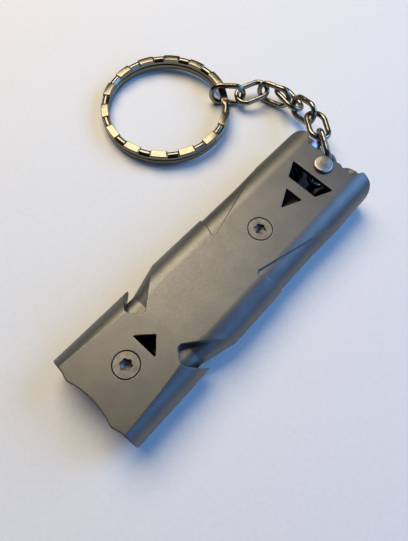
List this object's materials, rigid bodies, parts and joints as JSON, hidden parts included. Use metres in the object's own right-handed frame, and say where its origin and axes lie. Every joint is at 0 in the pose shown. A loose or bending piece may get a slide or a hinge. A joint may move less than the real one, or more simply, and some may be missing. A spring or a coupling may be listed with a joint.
{
  "type": "training whistle",
  "caption": "Flat steel dog training whistle: twin tone tubes in a screwed two-shell casing, with a short chain and a split ring.",
  "frame": {"origin": "middle of the flat back face, which the whistle lies on", "axes": "+X towards the mouth end with the chain, +Z out of the front face with the windows and screws, +Y across to the side that the split ring lies on"},
  "size_m": [0.0708, 0.0551, 0.0091],
  "materials": {
    "blasted_steel": "bead-blasted, warm grey",
    "turned_steel": "turned, satin",
    "screw_steel": "satin",
    "pin_nickel": "lightly worn nickel",
    "chain_nickel": "bright nickel",
    "ring_nickel": "bright nickel, top turn hammered"
  },
  "bodies": {
    "whistle": {"front_shell": "blasted_steel", "back_shell": "blasted_steel", "tube_left": "turned_steel", "tube_right": "turned_steel", "windway_plug_left": "turned_steel", "windway_plug_right": "turned_steel", "end_plug_left": "turned_steel", "end_plug_right": "turned_steel", "tail_block": "turned_steel", "screw_post": "turned_steel", "screw_lower": "screw_steel", "screw_upper": "screw_steel", "chain_pin": "pin_nickel"},
    "link_1": {"link_1": "chain_nickel"},
    "link_2": {"link_2": "chain_nickel"},
    "link_3": {"link_3": "chain_nickel"},
    "link_4": {"link_4": "chain_nickel"},
    "link_5": {"link_5": "chain_nickel"},
    "link_6": {"link_6": "chain_nickel"},
    "link_7": {"link_7": "chain_nickel"},
    "link_8": {"link_8": "chain_nickel"},
    "key_ring": {"split_ring": "ring_nickel"}
  },
  "joints": [
    {"name": "pin_swivel", "type": "hinge", "parent": "whistle", "child": "link_1", "pos_m": [0.0254, 0, 0.0042], "axis": [0, 0, 1], "range_deg": [-4, 1]},
    {"name": "link_2_hinge", "type": "hinge", "parent": "link_1", "child": "link_2", "pos_m": [0.03089, 0.00029, 0.0047], "axis": [-0.0418, 0.7975, 0.6018], "range_deg": [0, 24]},
    {"name": "link_3_hinge", "type": "hinge", "parent": "link_2", "child": "link_3", "pos_m": [0.03282, 0.0056, 0.00612], "axis": [0.2717, 0.0006, -0.9624], "range_deg": [-12, 50]},
    {"name": "link_4_hinge", "type": "hinge", "parent": "link_3", "child": "link_4", "pos_m": [0.0367, 0.00934, 0.00505], "axis": [-0.7291, 0.6736, 0.1212], "range_deg": [-27, 58]},
    {"name": "link_5_hinge", "type": "hinge", "parent": "link_4", "child": "link_5", "pos_m": [0.0376, 0.01449, 0.00296], "axis": [-0.3471, -0.2649, -0.8996], "range_deg": [-3, 58]},
    {"name": "link_6_hinge", "type": "hinge", "parent": "link_5", "child": "link_6", "pos_m": [0.03889, 0.01933, 0.0027], "axis": [-0.8936, 0.1899, 0.4067], "range_deg": [-2, 45]},
    {"name": "link_7_hinge", "type": "hinge", "parent": "link_6", "child": "link_7", "pos_m": [0.03606, 0.0222, 0.00231], "axis": [-0.1331, -0.1191, -0.9839], "range_deg": [-9, 2]},
    {"name": "link_8_hinge", "type": "hinge", "parent": "link_7", "child": "link_8", "pos_m": [0.03111, 0.02403, 0.002], "axis": [-0.4003, -0.9149, -0.0519], "range_deg": [-60, 60]},
    {"name": "ring_hinge", "type": "hinge", "parent": "link_8", "child": "key_ring", "pos_m": [0.02987, 0.02749, 0.00239], "axis": [0.436, 0.8999, -0.014], "range_deg": [-4, 4]}
  ]
}
